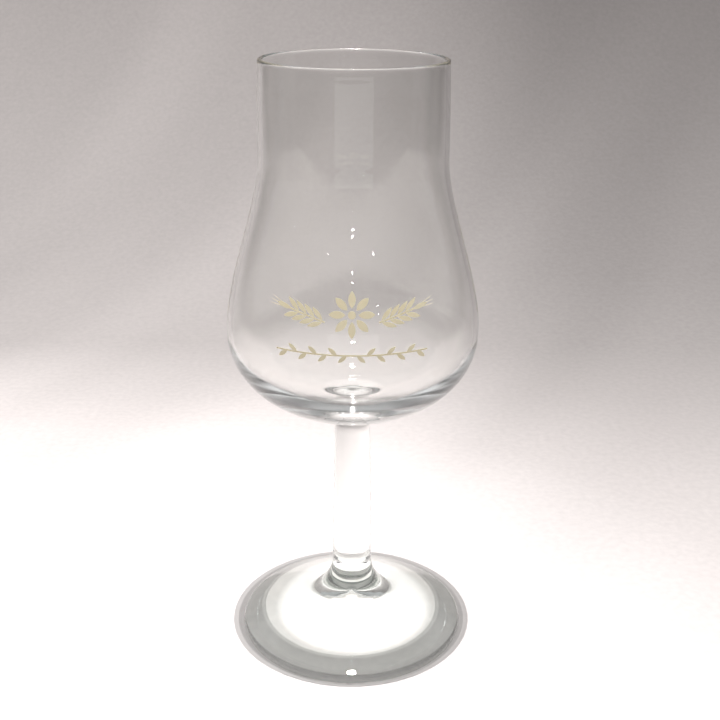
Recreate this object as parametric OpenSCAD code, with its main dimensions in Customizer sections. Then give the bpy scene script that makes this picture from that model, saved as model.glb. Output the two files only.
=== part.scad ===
// Stemmed nosing glass: a tulip bowl, a drawn stem and a round foot, fused at two seams, with a fired enamel
// ornament on the front of the bowl. The origin is the centre of the resting face, and the ornament faces -Y.

/* [Bowl] */
// Outer diameter at the rim
rim_d = 45.5; // [42:0.1:50]
// Outer diameter at the neck, where the wall stands upright
neck_d = 46.4; // [42:0.1:50]
// Outer diameter at the widest place
belly_d = 64.3; // [56:0.1:76]
// Height from the underside of the bowl to the rim
bowl_h = 89.3; // [79:0.1:109]
// Height from the underside of the bowl to the neck
neck_h = 66; // [57:0.1:75]
// Height from the underside of the bowl to the widest place
belly_h = 22.7; // [18.5:0.1:29]
// Thickness of the wall at the rim
rim_wall = 1.1; // [0.8:0.1:2]
// Thickness of the wall at the neck
neck_wall = 1.15; // [0.8:0.05:2]
// Thickness of the wall at the widest place
belly_wall = 1.3; // [0.8:0.1:2.5]
// Thickness of the glass in the middle of the floor
floor_t = 4.3; // [3:0.1:7]
// Height of the collar that joins the bowl to the stem
collar_h = 5.7; // [5.6:0.1:9]
// Radius of the fillet between the underside of the bowl and the collar
collar_fillet = 5.6; // [1:0.1:5.6]

/* [Stem] */
// Height of the stem between its two seams
stem_h = 40; // [20:0.5:80]
// Diameter of the stem at the bowl
stem_top_d = 9.5; // [7:0.1:13]
// Diameter of the stem at the foot
stem_low_d = 10.7; // [7:0.1:13]

/* [Foot] */
// Diameter of the foot
foot_d = 61; // [52:0.5:80]
// Height of the foot up to its seam with the stem
foot_h = 20; // [17:0.1:26]
// Radius of the fillet that spreads from the stem into the foot
foot_fillet = 10.5; // [8:0.1:12]
// Thickness of the foot at its edge
edge_t = 2.8; // [2.7:0.1:3.6]
// Radius of the rounding above and below the edge
edge_round = 1.3; // [0.8:0.05:1.35]
// Width of the flat ring that the foot rests on
rest_w = 3; // [1.5:0.1:6]
// Depth of the pointed hollow under the middle of the foot
hollow_h = 9; // [2:0.1:10]

/* [Ornament] */
// Height of the middle of the ornament above the underside of the bowl
ornament_h = 35.9; // [33.5:0.1:47]
// Thickness of the fired enamel
enamel_t = 0.1; // [0.05:0.01:0.3]
// Radius around the centre of the rosette where its petals start
petal_start = 1.5; // [1.3:0.1:2]
// Length of a petal
petal_l = 3.8; // [2.5:0.1:4]
// Width of a petal
petal_w = 1.7; // [0.8:0.1:2]
// Diameter of the eye of the rosette
eye_d = 1.8; // [0.8:0.1:2.2]
// Distance from the middle of the ornament to the foot of each sprig's stalk
sprig_start = 6.2; // [6:0.1:7]
// Height from the foot of each stalk up to the middle of the ornament
sprig_drop = 1.8; // [0:0.1:3]
// Lean of the sprigs, in degrees
sprig_lean = 16; // [0:1:25]
// Length of a grain of the sprigs
grain_l = 3.6; // [2:0.1:4]
// Width of a grain
grain_w = 1.05; // [0.8:0.05:1.5]
// Distance along the stalk from one pair of grains to the next
grain_step = 1.9; // [1.2:0.05:2]
// Distance from the stalk's line to the root of a grain
grain_root = 0.25; // [0.1:0.05:0.5]
// Width of the stalk
stalk_w = 0.4; // [0.3:0.05:0.8]
// Bare length of the stalk before its first grains
stalk_l = 0.6; // [0.3:0.1:2]
// Length of the beards past the last grain
beard_l = 1.2; // [0.5:0.1:3]
// Width of a beard where it leaves the ear
beard_w = 0.32; // [0.2:0.02:0.5]
// Height from the garland's line up to the middle of the ornament
garland_drop = 9.2; // [8:0.1:9.6]
// Length of the garland
garland_l = 35; // [20:0.5:38]
// Width of the garland's line
garland_w = 0.35; // [0.25:0.05:0.6]
// Distance along the line from one leaf to the next
leaf_step = 2.3; // [1.6:0.1:4]
// Length of a leaf
leaf_l = 2.6; // [1.4:0.1:3]
// Width of a leaf
leaf_w = 0.95; // [0.5:0.05:1.2]

/* [Hidden] */
$fn = 96;

// Counts
curve_steps = 20;
arc_steps = 8;
petals = 8;
grain_pairs = 4;
beards = 3;

// Angles in degrees
under_slope = 12;
grain_spread = 34;
beard_spread = 11;
leaf_spread = 40;

// Shares that pull each curve of the bowl's outline into shape
mouth_pull_share = 0.6;
mouth_reach_share = 1 / 3;
neck_down_share = 0.255;
belly_up_share = 0.301;
belly_down_share = 0.801;
under_flat_share = 0.072;
floor_down_share = 0.85;
floor_flat_share = 0.34;

// Power that draws the hollow of the foot up to its point
hollow_power = 0.85;

// Radii
rim_r = rim_d / 2;
neck_r = neck_d / 2;
belly_r = belly_d / 2;
stem_top_r = stem_top_d / 2;
stem_low_r = stem_low_d / 2;
foot_r = foot_d / 2;
lip_r = rim_wall / 2;

// Heights above the resting face
stem_top_z = foot_h + stem_h;
under_z = stem_top_z + collar_h;
belly_z = under_z + belly_h;
neck_z = under_z + neck_h;
rim_z = under_z + bowl_h;
floor_z = under_z + floor_t;
lip_z = rim_z - lip_r;
ornament_z = under_z + ornament_h;
garland_z = ornament_z - garland_drop;

// A point on a cubic curve, the whole curve, and an arc around a centre
function cubic(p, t) = pow(1 - t, 3) * p[0] + 3 * pow(1 - t, 2) * t * p[1] + 3 * (1 - t) * t * t * p[2]
    + pow(t, 3) * p[3];
function curve(p, steps) = [for (i = [0:steps]) cubic(p, i / steps)];
function arc(centre, r, from, to) = [for (i = [0:arc_steps])
    let (a = from + (to - from) * i / arc_steps) centre + r * [cos(a), sin(a)]];

// The wall's three curves from the lip down, for the outside and, with the wall taken off, for the inside
function mouth_curve(r_rim, r_neck) = let (fall = lip_z - neck_z) curve([
    [r_rim, lip_z],
    [r_rim + mouth_pull_share * (r_neck - r_rim), lip_z - mouth_reach_share * fall],
    [r_neck, neck_z + mouth_reach_share * fall],
    [r_neck, neck_z]], arc_steps);
function shoulder_curve(r_neck, r_belly) = let (fall = neck_z - belly_z) curve([
    [r_neck, neck_z],
    [r_neck, neck_z - neck_down_share * fall],
    [r_belly, belly_z + belly_up_share * fall],
    [r_belly, belly_z]], curve_steps);
function base_curve(r_belly, end, down_share, flat_share, slope) = curve([
    [r_belly, belly_z],
    [r_belly, belly_z - down_share * (belly_z - end[1])],
    end + flat_share * (r_belly - end[0]) * [1, tan(slope)],
    end], curve_steps);

// The fillet between the collar and the underside, and the place where the underside leaves it
collar_c = [stem_top_r + collar_fillet, under_z - collar_fillet];
under_end = collar_c + collar_fillet * [-sin(under_slope), cos(under_slope)];

outside = concat(
    mouth_curve(rim_r, neck_r),
    shoulder_curve(neck_r, belly_r),
    base_curve(belly_r, under_end, belly_down_share, under_flat_share, under_slope));
inside = concat(
    mouth_curve(rim_r - rim_wall, neck_r - neck_wall),
    shoulder_curve(neck_r - neck_wall, belly_r - belly_wall),
    base_curve(belly_r - belly_wall, [0, floor_z], floor_down_share, floor_flat_share, 0));

// The stretch of the outside that carries the ornament
band_reach = ornament_h / 2;
band = [for (p = outside) if (abs(p[1] - ornament_z) < band_reach) p];

// Where the straight slope of the foot leaves its fillet and meets its rounded edge
fillet_c = [stem_low_r + foot_fillet, foot_h];
edge_c = [foot_r - edge_round, edge_t - edge_round];
foot_span = edge_c - fillet_c;
slope_a = atan2(foot_span[1], foot_span[0]) - acos((foot_fillet + edge_round) / norm(foot_span));
rest_r = foot_r - edge_round;
hollow_r = rest_r - rest_w;

function reversed(points) = [for (i = [len(points) - 1:-1:0]) points[i]];

module bowl() {
    color([0.86, 0.9, 0.89, 0.4])
        rotate_extrude()
            polygon(concat(
                [[0, stem_top_z], [stem_top_r, stem_top_z]],
                arc(collar_c, collar_fillet, 180, under_slope + 90),
                reversed(outside),
                arc([rim_r - lip_r, lip_z], lip_r, 0, 180),
                inside));
}

module stem() {
    color([0.86, 0.9, 0.89, 0.4])
        translate([0, 0, foot_h])
            cylinder(h = stem_h, r1 = stem_low_r, r2 = stem_top_r);
}

module foot() {
    color([0.86, 0.9, 0.89, 0.4])
        rotate_extrude()
            polygon(concat(
                [[0, foot_h]],
                arc(fillet_c, foot_fillet, -180, slope_a),
                arc(edge_c, edge_round, slope_a + 180, 0),
                arc([foot_r - edge_round, edge_round], edge_round, 0, -90),
                [for (i = [0:curve_steps]) let (share = 1 - i / curve_steps)
                    [hollow_r * share, hollow_h * (1 - pow(share, hollow_power))]]));
}

// A leaf with two arched sides, its root at the origin and its tip along +X
module leaf(length, width) {
    side_r = (length * length + width * width) / (4 * width);
    intersection() {
        translate([length / 2, side_r - width / 2]) circle(side_r);
        translate([length / 2, width / 2 - side_r]) circle(side_r);
    }
}

// A beard of the ear, wide at its root and drawn to a point
module beard(length, width) {
    polygon([[0, -width / 2], [length, 0], [0, width / 2]]);
}

// A bearded ear, its stalk's foot beside the middle of the ornament
module sprig() {
    ear_end = stalk_l + grain_pairs * grain_step;
    translate([sprig_start, -sprig_drop]) rotate(sprig_lean) {
        translate([0, -stalk_w / 2]) square([ear_end, stalk_w]);
        for (i = [0:grain_pairs - 1], side = [-1, 1])
            translate([stalk_l + i * grain_step, side * grain_root])
                rotate(side * grain_spread) leaf(grain_l, grain_w);
        translate([ear_end - grain_root, 0]) leaf(grain_l, grain_w);
        for (i = [0:beards - 1])
            translate([ear_end, 0])
                rotate((i - (beards - 1) / 2) * beard_spread) beard(grain_l + beard_l, beard_w);
    }
}

// A flat design, drawn as seen from the front, laid on the outside of the bowl as a thin coat
module enamel(height) {
    color([0.91, 0.89, 0.74])
        intersection() {
            rotate_extrude()
                polygon(concat(band, reversed([for (p = band) p + [enamel_t, 0]])));
            translate([0, 0, height]) rotate([90, 0, 0]) linear_extrude(belly_d) children();
        }
}

module enamel_sprig_left() {
    enamel(ornament_z) mirror([1, 0]) sprig();
}

module enamel_sprig_right() {
    enamel(ornament_z) sprig();
}

module enamel_rosette() {
    enamel(ornament_z) {
        circle(d = eye_d);
        for (i = [0:petals - 1]) rotate(i * 360 / petals) translate([petal_start, 0]) leaf(petal_l, petal_w);
    }
}

module enamel_garland() {
    pairs = floor(garland_l / leaf_step / 2);
    enamel(garland_z) {
        translate([-garland_l / 2, -garland_w / 2]) square([garland_l, garland_w]);
        for (side = [-1, 1], i = [0:pairs - 1])
            scale([side, 1])
                translate([leaf_step * (i + 1 / 2), 0])
                    rotate((i % 2 * 2 - 1) * leaf_spread) leaf(leaf_l, leaf_w);
    }
}

bowl();
stem();
foot();
enamel_sprig_left();
enamel_sprig_right();
enamel_rosette();
enamel_garland();
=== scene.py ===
import math

import bpy
from mathutils import Matrix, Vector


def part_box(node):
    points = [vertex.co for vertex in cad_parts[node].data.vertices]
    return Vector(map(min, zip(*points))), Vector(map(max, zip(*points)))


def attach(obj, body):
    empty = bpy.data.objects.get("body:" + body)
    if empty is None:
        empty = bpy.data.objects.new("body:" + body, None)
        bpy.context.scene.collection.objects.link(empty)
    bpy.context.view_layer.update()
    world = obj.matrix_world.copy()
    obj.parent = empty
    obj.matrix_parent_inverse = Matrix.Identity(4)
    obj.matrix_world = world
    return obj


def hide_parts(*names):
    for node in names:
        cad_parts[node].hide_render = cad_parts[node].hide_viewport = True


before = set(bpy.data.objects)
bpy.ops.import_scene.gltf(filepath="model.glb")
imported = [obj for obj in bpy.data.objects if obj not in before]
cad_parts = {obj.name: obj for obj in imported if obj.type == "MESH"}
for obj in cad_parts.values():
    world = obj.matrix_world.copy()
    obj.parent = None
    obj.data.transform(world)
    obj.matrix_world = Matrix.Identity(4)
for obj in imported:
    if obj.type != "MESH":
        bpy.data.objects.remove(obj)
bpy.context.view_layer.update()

mm = 0.001


# Helpers for meshes

def only(obj):
    for other in bpy.context.selected_objects:
        other.select_set(False)
    obj.select_set(True)
    bpy.context.view_layer.objects.active = obj


def editMode(obj):
    only(obj)
    bpy.ops.object.mode_set(mode="EDIT")
    bpy.ops.mesh.select_mode(type="VERT")


def objectMode():
    bpy.ops.object.mode_set(mode="OBJECT")


def pickVerts(obj, test):
    # Call in object mode: the next edit mode then has these points selected
    for face in obj.data.polygons:
        face.select = False
    for edge in obj.data.edges:
        edge.select = False
    for vert in obj.data.vertices:
        vert.select = bool(test(vert.co))


def newest(name):
    obj = bpy.context.view_layer.objects.active
    obj.name = name
    obj.data.name = name
    return obj


# Helpers for materials

def newMaterial(name):
    mat = bpy.data.materials.new(name)
    mat.use_nodes = True
    mat.node_tree.nodes.clear()
    return mat


def addNode(mat, kind, x, y, feeds=None, **settings):
    # Each feed goes into the input of its name or number: another node's output, or a constant
    node = mat.node_tree.nodes.new(kind)
    node.location = (x, y)
    for key, value in settings.items():
        setattr(node, key, value)
    for key, value in (feeds or {}).items():
        if isinstance(value, bpy.types.NodeSocket):
            mat.node_tree.links.new(value, node.inputs[key])
        else:
            node.inputs[key].default_value = value
    return node


def calc(mat, x, y, operation, *feeds):
    node = addNode(mat, "ShaderNodeMath", x, y, dict(enumerate(feeds)), operation=operation)
    return node.outputs["Value"]


def calcVector(mat, x, y, operation, first, second):
    secondInput = "Scale" if operation == "SCALE" else 1
    node = addNode(mat, "ShaderNodeVectorMath", x, y, {0: first, secondInput: second},
                   operation=operation)
    return node.outputs["Value" if operation in ("DOT_PRODUCT", "DISTANCE") else "Vector"]


def mapRange(mat, x, y, value, fromSpan, toSpan=(0.0, 1.0), kind="SMOOTHSTEP"):
    node = addNode(mat, "ShaderNodeMapRange", x, y, {
        "Value": value,
        "From Min": fromSpan[0],
        "From Max": fromSpan[1],
        "To Min": toSpan[0],
        "To Max": toSpan[1],
    }, interpolation_type=kind)
    return node.outputs["Result"]


def mixColours(mat, x, y, share, first, second):
    node = addNode(mat, "ShaderNodeMix", x, y, {"Factor": share, "A": first, "B": second},
                   data_type="RGBA")
    return node.outputs["Result"]


def noise(mat, x, y, place, scale, detail):
    node = addNode(mat, "ShaderNodeTexNoise", x, y, {
        "Vector": place,
        "Scale": scale,
        "Detail": detail,
    })
    return node.outputs["Fac"]


def bump(mat, x, y, height, distance):
    node = addNode(mat, "ShaderNodeBump", x, y, {"Height": height, "Distance": distance})
    return node.outputs["Normal"]


# Camera, where the photograph's stood

cameraPlace = {
    "distance": 264.2 * mm,     # in front of the stem's axis
    "height": 182.4 * mm,
    "side": 1.9 * mm,
    "tilt": math.radians(68.61),
    "roll": math.radians(0.39),
    "lens": 54.59,
    "sensor": 36.0,
    "nearest": 10 * mm,
}


def makeCamera(place):
    bpy.ops.object.camera_add(location=(place["side"], -place["distance"], place["height"]))
    camera = bpy.context.object
    camera.name = "photoCamera"
    turn = Matrix.Rotation(place["tilt"], 3, "X") @ Matrix.Rotation(place["roll"], 3, "Z")
    camera.rotation_euler = turn.to_euler()
    camera.data.lens = place["lens"]
    camera.data.sensor_width = place["sensor"]
    camera.data.dof.use_dof = False
    camera.data.clip_start = place["nearest"]
    bpy.context.scene.camera = camera


makeCamera(cameraPlace)
print("camera set")


# Glass

glassLook = {
    "ior": 1.5,
    "rippleScale": 90.0,
    "rippleDetail": 1.0,
    "rippleHeight": 0.012 * mm,
    "straightLoss": 0.05,       # light lost head-on at one surface
    "edgeLoss": 0.5,            # light lost along a surface
    "lossSpan": (0.30, 0.85),   # how far a surface turns away while the loss grows
    "lampTint": (0.985, 0.995, 0.99),
    "density": 8.0,             # of the depth tint, per metre
}
blownTint = (0.955, 0.957, 0.950, 1.0)
drawnTint = (0.948, 0.957, 0.950, 1.0)
pressedTint = (0.956, 0.962, 0.955, 1.0)
pressedDepthTint = (0.45, 0.62, 0.52, 1.0)


def makeGlass(name, tint, look, depthTint=None):
    mat = newMaterial(name)

    # Faint ripples of blown and pressed glass
    place = addNode(mat, "ShaderNodeTexCoord", -900, -300).outputs["Object"]
    ripple = noise(mat, -600, -300, place, look["rippleScale"], look["rippleDetail"])
    glass = addNode(mat, "ShaderNodeBsdfPrincipled", 300, -100, {
        "Base Color": tint,
        "Roughness": 0.0,
        "IOR": look["ior"],
        "Transmission Weight": 1.0,
        "Normal": bump(mat, -200, -300, ripple, look["rippleHeight"]),
    })

    # Lamps and soft light pass straight through, and less of it where they graze the wall
    path = addNode(mat, "ShaderNodeLightPath", 100, 400).outputs
    passes = calc(mat, 400, 400, "MAXIMUM", path["Is Shadow Ray"], path["Is Diffuse Ray"])
    facing = addNode(mat, "ShaderNodeLayerWeight", -900, 200).outputs["Facing"]
    share = mapRange(mat, -500, 200, facing, look["lossSpan"],
                     (1.0 - look["straightLoss"], 1.0 - look["edgeLoss"]))
    passed = calcVector(mat, -200, 200, "SCALE", look["lampTint"], share)
    clear = addNode(mat, "ShaderNodeBsdfTransparent", 300, 150, {"Color": passed})
    choose = addNode(mat, "ShaderNodeMixShader", 700, 0, {
        "Fac": passes,
        1: glass.outputs["BSDF"],
        2: clear.outputs["BSDF"],
    })
    out = addNode(mat, "ShaderNodeOutputMaterial", 900, 0, {"Surface": choose.outputs["Shader"]})
    if depthTint:
        # Thick pressed glass looks greener the further the light runs in it
        deep = addNode(mat, "ShaderNodeVolumeAbsorption", 600, -500, {
            "Color": depthTint,
            "Density": look["density"],
        })
        mat.node_tree.links.new(deep.outputs["Volume"], out.inputs["Volume"])
    return mat


def makeSeam(name):
    # Fused glass has no surface inside a seam, so the two faces that meet there aren't seen
    mat = newMaterial(name)
    clear = addNode(mat, "ShaderNodeBsdfTransparent", 0, 0)
    addNode(mat, "ShaderNodeOutputMaterial", 300, 0, {"Surface": clear.outputs["BSDF"]})
    return mat


bowlGlass = makeGlass("clearBlownGlass", blownTint, glassLook)
stemGlass = makeGlass("clearDrawnGlass", drawnTint, glassLook)
footGlass = makeGlass("clearPressedGlass", pressedTint, glassLook, pressedDepthTint)
fusedSeam = makeSeam("fusedSeam")

lathe = {
    "turns": 256,
    "stepsBetweenPoints": 2,
    "corner": math.radians(25),         # the least turn of an outline at a corner
    "smoothUpTo": math.radians(40),
    "mergeGap": 0.0005 * mm,
    "planeGap": 0.0002 * mm,
    "seamGap": 0.002 * mm,              # how far from its height a seam's point may lie
    "seamEdgeFrom": 1 * mm,             # a seam's outer point is farther than this from the axis
    "levelError": 1e-5,
}


def outlineOf(node, name):
    # The CAD piece's own outline: its points in the plane through the axis, on the +X side
    obj = bpy.data.objects.new(name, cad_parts[node].data.copy())
    bpy.context.collection.objects.link(obj)
    obj.data.materials.clear()
    editMode(obj)
    bpy.ops.mesh.select_all(action="SELECT")
    bpy.ops.mesh.remove_doubles(threshold=lathe["mergeGap"])
    objectMode()
    gap = lathe["planeGap"]
    pickVerts(obj, lambda co: abs(co.y) > gap or co.x < -gap)
    editMode(obj)
    bpy.ops.mesh.delete(type="VERT")
    objectMode()

    # A smooth curve through those points
    only(obj)
    bpy.ops.object.convert(target="CURVE")
    obj = bpy.context.object
    bpy.ops.object.mode_set(mode="EDIT")
    bpy.ops.curve.select_all(action="SELECT")
    bpy.ops.curve.spline_type_set(type="BEZIER")
    bpy.ops.curve.handle_type_set(type="AUTOMATIC")
    objectMode()
    for spline in obj.data.splines:
        marks = list(spline.bezier_points)
        for before, mark, after in zip(marks, marks[1:], marks[2:]):
            if (mark.co - before.co).angle(after.co - mark.co) > lathe["corner"]:
                mark.handle_left_type = "VECTOR"
                mark.handle_right_type = "VECTOR"
    obj.data.resolution_u = lathe["stepsBetweenPoints"]
    bpy.ops.object.convert(target="MESH")
    obj = bpy.context.object

    # The smoothing may not dip below the table that the glass stands on
    pickVerts(obj, lambda co: co.z < lathe["mergeGap"])
    editMode(obj)
    bpy.ops.transform.resize(value=(1, 1, 0), center_override=(0, 0, 0))
    objectMode()
    return obj


def turnOnLathe(node, name, glass, seamHeights):
    obj = outlineOf(node, name)
    gap = lathe["seamGap"]
    # Each seam gets its flat end: the outer point is drawn in to the axis
    for height in seamHeights:
        pickVerts(obj, lambda co: abs(co.z - height) < gap and co.x > lathe["seamEdgeFrom"])
        reach = max(v.co.x for v in obj.data.vertices if v.select)
        editMode(obj)
        bpy.ops.mesh.extrude_region_move(TRANSFORM_OT_translate={"value": (-reach, 0, 0)})
        objectMode()
    editMode(obj)
    bpy.ops.mesh.select_all(action="SELECT")
    bpy.ops.mesh.spin(steps=lathe["turns"], angle=math.tau, center=(0, 0, 0), axis=(0, 0, 1))
    bpy.ops.mesh.select_all(action="SELECT")
    bpy.ops.mesh.remove_doubles(threshold=lathe["mergeGap"])
    bpy.ops.mesh.dissolve_degenerate(threshold=lathe["mergeGap"])
    bpy.ops.mesh.select_all(action="SELECT")
    bpy.ops.mesh.normals_make_consistent(inside=False)
    objectMode()
    only(obj)
    bpy.ops.object.shade_smooth_by_angle(angle=lathe["smoothUpTo"])
    obj = newest(name)
    obj.data.materials.append(glass)
    obj.data.materials.append(fusedSeam)
    for face in obj.data.polygons:
        flat = abs(abs(face.normal.z) - 1) < lathe["levelError"]
        if flat and any(abs(face.center.z - height) < gap for height in seamHeights):
            face.material_index = 1
    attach(obj, "root")
    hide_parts(node)
    return obj


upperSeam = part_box("stem")[1].z
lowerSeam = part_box("stem")[0].z
bowl = turnOnLathe("bowl", "tulipBowl", bowlGlass, [upperSeam])
stem = turnOnLathe("stem", "drawnStem", stemGlass, [upperSeam, lowerSeam])
foot = turnOnLathe("foot", "pressedFoot", footGlass, [lowerSeam])
for piece in (bowl, stem, foot):
    print("turned", piece.name, len(piece.data.vertices), "points")


# Fired enamel

enamelLook = {
    "cream": (0.97, 0.89, 0.67, 1.0),
    "gold": (0.92, 0.80, 0.52, 1.0),
    "ior": 1.5,
    "roughness": (0.32, 0.57),
    "mottleScale": 260.0,
    "mottleDetail": 3.0,
    "grainScale": 900.0,
    "grainDetail": 2.0,
    "grainHeight": 0.02 * mm,
}
enamelPrints = ("enamel_sprig_left", "enamel_sprig_right", "enamel_rosette", "enamel_garland")


def makeEnamel(name, look):
    mat = newMaterial(name)
    place = addNode(mat, "ShaderNodeTexCoord", -900, 0).outputs["Object"]
    mottle = noise(mat, -700, 150, place, look["mottleScale"], look["mottleDetail"])
    grain = noise(mat, -700, -200, place, look["grainScale"], look["grainDetail"])
    paint = addNode(mat, "ShaderNodeBsdfPrincipled", 300, 0, {
        "Base Color": mixColours(mat, -100, 150, mottle, look["cream"], look["gold"]),
        "Roughness": mapRange(mat, -200, -50, grain, (0.0, 1.0), look["roughness"], "LINEAR"),
        "IOR": look["ior"],
        "Normal": bump(mat, 0, -200, grain, look["grainHeight"]),
    })
    addNode(mat, "ShaderNodeOutputMaterial", 600, 0, {"Surface": paint.outputs["BSDF"]})
    return mat


firedEnamel = makeEnamel("firedCreamEnamel", enamelLook)
for node in enamelPrints:
    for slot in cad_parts[node].material_slots:
        slot.material = firedEnamel
print("enamel on", len(enamelPrints), "prints")


# Paper sweep

sweep = {
    "width": 3.0,
    "front": -1.6,
    "bendStart": 0.20,
    "bendRadius": 0.35,
    "bendAngle": math.radians(70),
    "bendSteps": 24,
    "edgeGap": 1 * mm,          # points this near the bend's start belong to the edge that is bent
    "rise": 0.05,
}
paperLook = {
    "roughness": 0.85,
    # Painted shade: grey against depth at the left and at the right, and where it goes over from
    # one to the other; the paper is painted darker towards the back and up the bend, where less
    # light falls, and darker at the right than at the left
    "light": ((-1.6, 0.82), (-0.12, 0.90), (0.03, 0.93), (0.08, 0.93), (0.12, 0.84),
              (0.16, 0.675), (0.22, 0.49), (0.30, 0.47), (0.42, 0.438), (0.53, 0.397)),
    "dark": ((-1.6, 0.82), (-0.12, 0.90), (-0.05, 0.88), (0.03, 0.76), (0.08, 0.665),
             (0.12, 0.567), (0.16, 0.48), (0.22, 0.39), (0.30, 0.32), (0.42, 0.264),
             (0.53, 0.219)),
    "slant": 0.3,               # how much height adds to the depth that the grey follows
    "turnSpan": (-0.045, 0.13),
    "warmth": (1.07, 0.985, 0.96),
    "grainScale": 420.0,
    "grainDetail": 3.0,
    "grain": 0.10,
    "foldScale": (0.09, 0.55, 0.55),
    "foldTurn": math.radians(-28),
    "foldNoise": 1.0,
    "foldDetail": 1.0,
    "foldSpan": (0.3, 0.7),
    "fold": 0.09,
    # What the glass mirrors of the paper, and what soft light finds of it, is in shade at both
    # sides and in front; seen straight, or through the glass, the paper is pale all over
    "sideSpan": (0.36, 0.60),
    "sideShade": 0.2,
    "frontSpan": (-0.12, -0.075),
    "frontShade": 0.15,
    "softShare": 0.50,          # how far that shade is lifted for soft light
    # Painted light pool: the paper near the glass is painted brighter than white, as if
    # overexposed, and so is the middle of the foot's shadow, painted as the light that the glass
    # would gather from its ring of shadow; a fainter painted light lifts the outer band of that
    # shadow, centred a little off the axis
    "paintedLightPool": ((0.0, 1.0), (0.010, 1.0), (0.0190, 0.45), (0.0212, 0.035), (0.0290, 0.035),
             (0.0302, 0.08), (0.0323, 0.08), (0.0336, 0.17), (0.036, 0.18), (0.05, 0.16),
             (0.12, 0.0)),
    "paintedPoolCentre": (0.0006, 0.0022, 0.0),
}


def toneRamp(mat, x, y, value, points):
    # Grey against depth, distance or height, from the first point's to the last one's
    first, last = points[0][0], points[-1][0]
    share = mapRange(mat, x, y, value, (first, last), kind="LINEAR")
    ramp = addNode(mat, "ShaderNodeValToRGB", x + 200, y, {"Fac": share})
    marks = ramp.color_ramp.elements
    middle = 0.5
    while len(marks) < len(points):
        marks.new(middle)
    for mark, (place, tone) in zip(marks, points):
        mark.position = (place - first) / (last - first)
        mark.color = (tone, tone, tone, 1.0)
    return ramp.outputs["Color"]


oneMirror = 0.5                         # a light path with more mirrors than this has at least one


def plainSight(mat, x, y, softShare):
    # 1 for what is seen straight or through glass, less for soft light, 0 for mirror images
    path = addNode(mat, "ShaderNodeLightPath", x, y).outputs
    straight = calc(mat, x + 200, y, "MAXIMUM", path["Is Camera Ray"], path["Is Transmission Ray"])
    unmirrored = calc(mat, x + 200, y - 200, "LESS_THAN", path["Glossy Depth"], oneMirror)
    soft = calc(mat, x + 400, y, "MULTIPLY_ADD", path["Is Diffuse Ray"], softShare, straight)
    return calc(mat, x + 600, y, "MULTIPLY", soft, unmirrored)


def paperColour(mat, place, look):
    across = addNode(mat, "ShaderNodeSeparateXYZ", -900, 400, {"Vector": place}).outputs["X"]
    depth = calcVector(mat, -900, 0, "DOT_PRODUCT", place, (0.0, 1.0, look["slant"]))
    # Painted shade: a lit grey at the left and a shaded grey at the right, both darker with depth
    light = toneRamp(mat, -600, 200, depth, look["light"])
    dark = toneRamp(mat, -600, -100, depth, look["dark"])
    turned = mapRange(mat, -600, 450, across, look["turnSpan"])
    grey = mixColours(mat, 0, 100, turned, light, dark)
    warm = calcVector(mat, 300, 100, "MULTIPLY", grey, look["warmth"])

    # Fine grain, and the painted light and shade of a few soft folds that run up to the right
    grain = noise(mat, -600, -400, place, look["grainScale"], look["grainDetail"])
    grainTone = mapRange(mat, -300, -400, grain, (0.0, 1.0),
                         (1.0 - look["grain"], 1.0 + look["grain"]), "LINEAR")
    along = addNode(mat, "ShaderNodeMapping", -900, -650, {
        "Vector": place,
        "Rotation": (0.0, 0.0, look["foldTurn"]),
        "Scale": look["foldScale"],
    }, vector_type="TEXTURE").outputs["Vector"]
    fold = noise(mat, -600, -650, along, look["foldNoise"], look["foldDetail"])
    paintedFoldShade = mapRange(mat, -300, -650, fold, look["foldSpan"],
                        (1.0 - look["fold"], 1.0 + look["fold"]), "LINEAR")
    surface = calc(mat, -100, -500, "MULTIPLY", grainTone, paintedFoldShade)

    aside = calc(mat, -600, -900, "ABSOLUTE", across)
    sides = mapRange(mat, -300, -900, aside, look["sideSpan"], (1.0, look["sideShade"]))
    front = mapRange(mat, -300, -1200, depth, look["frontSpan"], (look["frontShade"], 1.0))
    shade = calc(mat, -100, -1000, "MULTIPLY", sides, front)
    straight = plainSight(mat, -900, -1500, look["softShare"])
    lit = addNode(mat, "ShaderNodeMix", 100, -1000, {
        "Factor": straight,
        "A": shade,
        "B": 1.0,
    }).outputs["Result"]
    strength = calc(mat, 100, -600, "MULTIPLY", surface, lit)
    return calcVector(mat, 600, 100, "SCALE", warm, strength)


def paintedPaperPool(mat, place, look):
    # Painted light pool: only what is seen, directly or in the glass, gets this painted extra
    # brightness; it lights nothing
    reach = calcVector(mat, -600, 700, "DISTANCE", place, look["paintedPoolCentre"])
    paintedLightPool = toneRamp(mat, -400, 700, reach, look["paintedLightPool"])
    path = addNode(mat, "ShaderNodeLightPath", -600, 1000).outputs
    straight = calc(mat, -300, 1000, "MAXIMUM", path["Is Camera Ray"], path["Is Transmission Ray"])
    seen = calc(mat, -100, 1000, "MAXIMUM", straight, path["Is Glossy Ray"])
    return calc(mat, 200, 800, "MULTIPLY", seen, paintedLightPool)


def makePaper(name, look):
    mat = newMaterial(name)
    place = addNode(mat, "ShaderNodeTexCoord", -1200, 0).outputs["Object"]
    paper = addNode(mat, "ShaderNodeBsdfPrincipled", 1000, 0, {
        "Base Color": paperColour(mat, place, look),
        "Roughness": look["roughness"],
        "Specular IOR Level": 0.0,
        # Painted light: this emission is the painted light pool round the glass
        "Emission Color": (1.0, 1.0, 1.0, 1.0),
        "Emission Strength": paintedPaperPool(mat, place, look),
    })
    addNode(mat, "ShaderNodeOutputMaterial", 1300, 0, {"Surface": paper.outputs["BSDF"]})
    return mat


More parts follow.
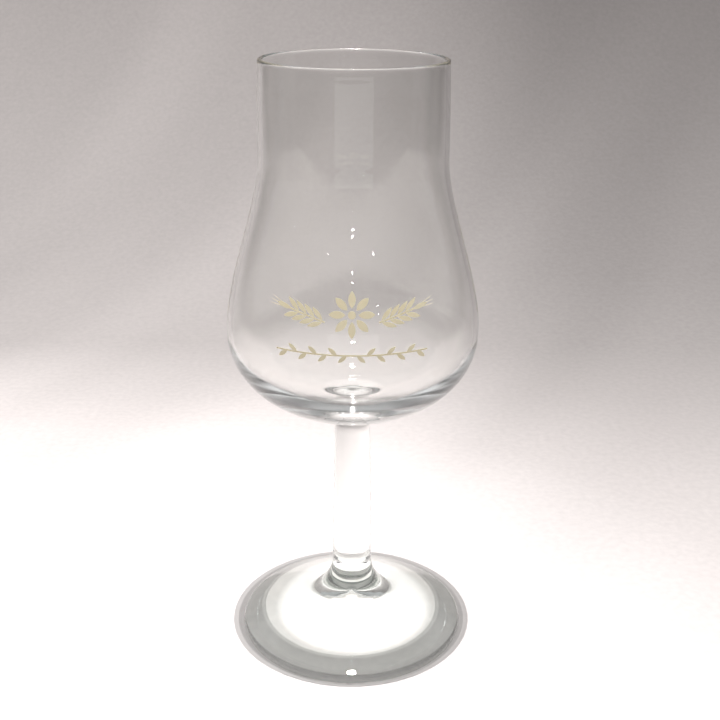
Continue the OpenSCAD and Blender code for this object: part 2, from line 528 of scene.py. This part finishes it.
def makeSweep(shape, look):
    depth = shape["bendStart"] - shape["front"]
    bpy.ops.mesh.primitive_plane_add(size=1, location=(0, shape["front"] + depth / 2, 0))
    obj = newest("paperSweep")
    obj.scale = (shape["width"], depth, 1)
    only(obj)
    bpy.ops.object.transform_apply(location=True, rotation=False, scale=True)
    pickVerts(obj, lambda co: co.y > shape["bendStart"] - shape["edgeGap"])
    editMode(obj)
    angle = shape["bendAngle"]
    bpy.ops.mesh.spin(steps=shape["bendSteps"], angle=angle, axis=(-1, 0, 0),
                      center=(0, shape["bendStart"], shape["bendRadius"]))
    lean = (0, shape["rise"] * math.cos(angle), shape["rise"] * math.sin(angle))
    bpy.ops.mesh.extrude_region_move(TRANSFORM_OT_translate={"value": lean})
    bpy.ops.mesh.select_all(action="SELECT")
    bpy.ops.mesh.normals_make_consistent(inside=False)
    objectMode()
    bpy.ops.object.shade_smooth()
    obj.data.materials.append(makePaper("palePaper", look))


makeSweep(sweep, paperLook)
print("paper sweep made")


# Lamps

lamp = {"place": (0.005, -0.053, 2.2), "radius": 0.018, "power": 160.0}

# Small bright bulbs that only the glass shows, wide and flat because its rounds squeeze their
# images from the sides
bulbs = {
    "overhead": {"place": (-0.005, 0.30, 2.12), "size": (0.05, 0.05, 0.03), "light": 400.0},
    "front": {"place": (-0.01, -2.0, 0.612), "size": (0.04, 0.01, 0.0045), "light": 80.0},
    "leftSpot": {"place": (-0.85, -1.8, 0.647), "size": (0.035, 0.035, 0.002), "light": 60.0},
    "rightSpot": {"place": (0.72, -1.87, 0.664), "size": (0.035, 0.035, 0.002), "light": 60.0},
    "behindTop": {"place": (0.0, 1.10, 1.97), "size": (0.03, 0.03, 0.03), "light": 20.0},
    "behindHigh": {"place": (0.0, 1.41, 1.76), "size": (0.03, 0.03, 0.03), "light": 20.0},
    "behindLow": {"place": (-0.02, 1.72, 1.46), "size": (0.04, 0.03, 0.03), "light": 20.0},
    "behindEdge": {"place": (-0.01, 1.85, 1.26), "size": (0.03, 0.03, 0.03), "light": 20.0},
}
bulbMesh = {"segments": 24, "ring_count": 12}

# A low window whose reflection stands in the neck
window = {"place": (0.01, -0.60, 0.064), "size": (0.48, 0.105), "light": 0.9}


def makeLamp(look):
    bpy.ops.object.light_add(type="POINT", radius=look["radius"], location=look["place"])
    bpy.context.object.data.energy = look["power"]
    bpy.context.object.name = "overheadLamp"


def makeLight(name, strength):
    mat = newMaterial(name)
    light = addNode(mat, "ShaderNodeEmission", 0, 0, {"Strength": strength})
    addNode(mat, "ShaderNodeOutputMaterial", 300, 0, {"Surface": light.outputs["Emission"]})
    mat.cycles.emission_sampling = "NONE"
    return mat


def onlyInGlass(obj):
    obj.visible_camera = False
    obj.visible_diffuse = False
    obj.visible_shadow = False


def makeBulb(name, look):
    bpy.ops.mesh.primitive_uv_sphere_add(radius=1, location=look["place"], **bulbMesh)
    obj = newest(name + "Bulb")
    obj.scale = look["size"]
    obj.data.materials.append(makeLight(name + "Light", look["light"]))
    onlyInGlass(obj)


def makeWindow(look):
    upright = (math.radians(-90), 0, 0)
    bpy.ops.mesh.primitive_plane_add(size=1, location=look["place"], rotation=upright)
    obj = newest("lowWindow")
    obj.scale = (*look["size"], 1)
    obj.data.materials.append(makeLight("windowLight", look["light"]))
    obj.visible_transmission = False
    onlyInGlass(obj)


makeLamp(lamp)
for name, look in bulbs.items():
    makeBulb(name, look)
makeWindow(window)
print("lamp,", len(bulbs), "bulbs and window made")


# Room

room = {
    # Grey against height of what the glass mirrors: in front of it, behind it, and there at both
    # sides and farther out; the spans say where it goes over from one to the next
    "front": ((-1.0, 0.12), (0.04, 0.12), (0.15, 0.09), (0.24, 0.21), (0.30, 0.24),
              (0.42, 0.52), (0.80, 0.48), (1.0, 0.25)),
    "back": ((-1.0, 0.30), (0.0, 0.30), (0.10, 0.27), (0.34, 0.32), (0.56, 0.46),
             (0.72, 0.46), (0.84, 0.25), (1.0, 0.18)),
    "side": ((-1.0, 0.20), (0.05, 0.20), (0.10, 0.11), (0.34, 0.11), (0.50, 0.38),
             (0.56, 0.8), (0.72, 0.8), (0.84, 0.30), (1.0, 0.18)),
    "far": ((-1.0, 0.20), (0.05, 0.20), (0.11, 0.08), (0.36, 0.08), (0.43, 0.42),
            (0.72, 0.42), (0.84, 0.30), (1.0, 0.18)),
    "backSpan": (-0.35, 0.05),
    "sideSpan": (0.25, 0.50),
    "farSpan": (0.70, 0.80),
    "coolness": (0.985, 1.0, 1.005),
    # The plain pale wall beyond the paper, for what is seen straight or through the glass
    "wall": ((-1.0, 0.50), (0.0, 0.50), (0.25, 0.43), (1.0, 0.36)),
    "wallSoftShare": 0.0,
}


def makeRoom(look):
    world = bpy.data.worlds.new("room")
    bpy.context.scene.world = world
    world.use_nodes = True
    place = addNode(world, "ShaderNodeTexCoord", -1200, 0).outputs["Generated"]
    axes = addNode(world, "ShaderNodeSeparateXYZ", -1000, 0, {"Vector": place}).outputs
    tones = {}
    for row, part in enumerate(("front", "back", "side", "far")):
        tones[part] = toneRamp(world, -800, 300 - 300 * row, axes["Z"], look[part])
    width = calc(world, -800, -600, "ABSOLUTE", axes["X"])
    aside = mapRange(world, -600, -600, width, look["sideSpan"])
    farOut = mapRange(world, -600, -1200, width, look["farSpan"])
    behind = mapRange(world, -600, -900, axes["Y"], look["backSpan"])
    backTone = mixColours(world, -300, -100, aside, tones["back"], tones["side"])
    wideTone = mixColours(world, -200, 0, farOut, backTone, tones["far"])
    tone = mixColours(world, -100, 100, behind, tones["front"], wideTone)
    mirrored = calcVector(world, 0, 300, "MULTIPLY", tone, look["coolness"])

    wall = toneRamp(world, -800, 600, axes["Z"], look["wall"])
    straight = plainSight(world, -700, 900, look["wallSoftShare"])
    colour = mixColours(world, 100, 100, straight, mirrored, wall)
    shade = world.node_tree.nodes["Background"]
    world.node_tree.links.new(colour, shade.inputs["Color"])


makeRoom(room)
print("room made")

lightPaths = {
    "bounces": 256,             # glass needs many, or its edges go black
    "softBounces": 3,
    "clamp": 400,               # high, so that the bulbs' images stay white
}

scene = bpy.context.scene
scene.view_settings.view_transform = "Standard"
scene.cycles.max_bounces = lightPaths["bounces"]
scene.cycles.transmission_bounces = lightPaths["bounces"]
scene.cycles.transparent_max_bounces = lightPaths["bounces"]
scene.cycles.glossy_bounces = lightPaths["bounces"]
scene.cycles.diffuse_bounces = lightPaths["softBounces"]
scene.cycles.sample_clamp_indirect = lightPaths["clamp"]
scene.cycles.caustics_reflective = False
scene.cycles.caustics_refractive = False
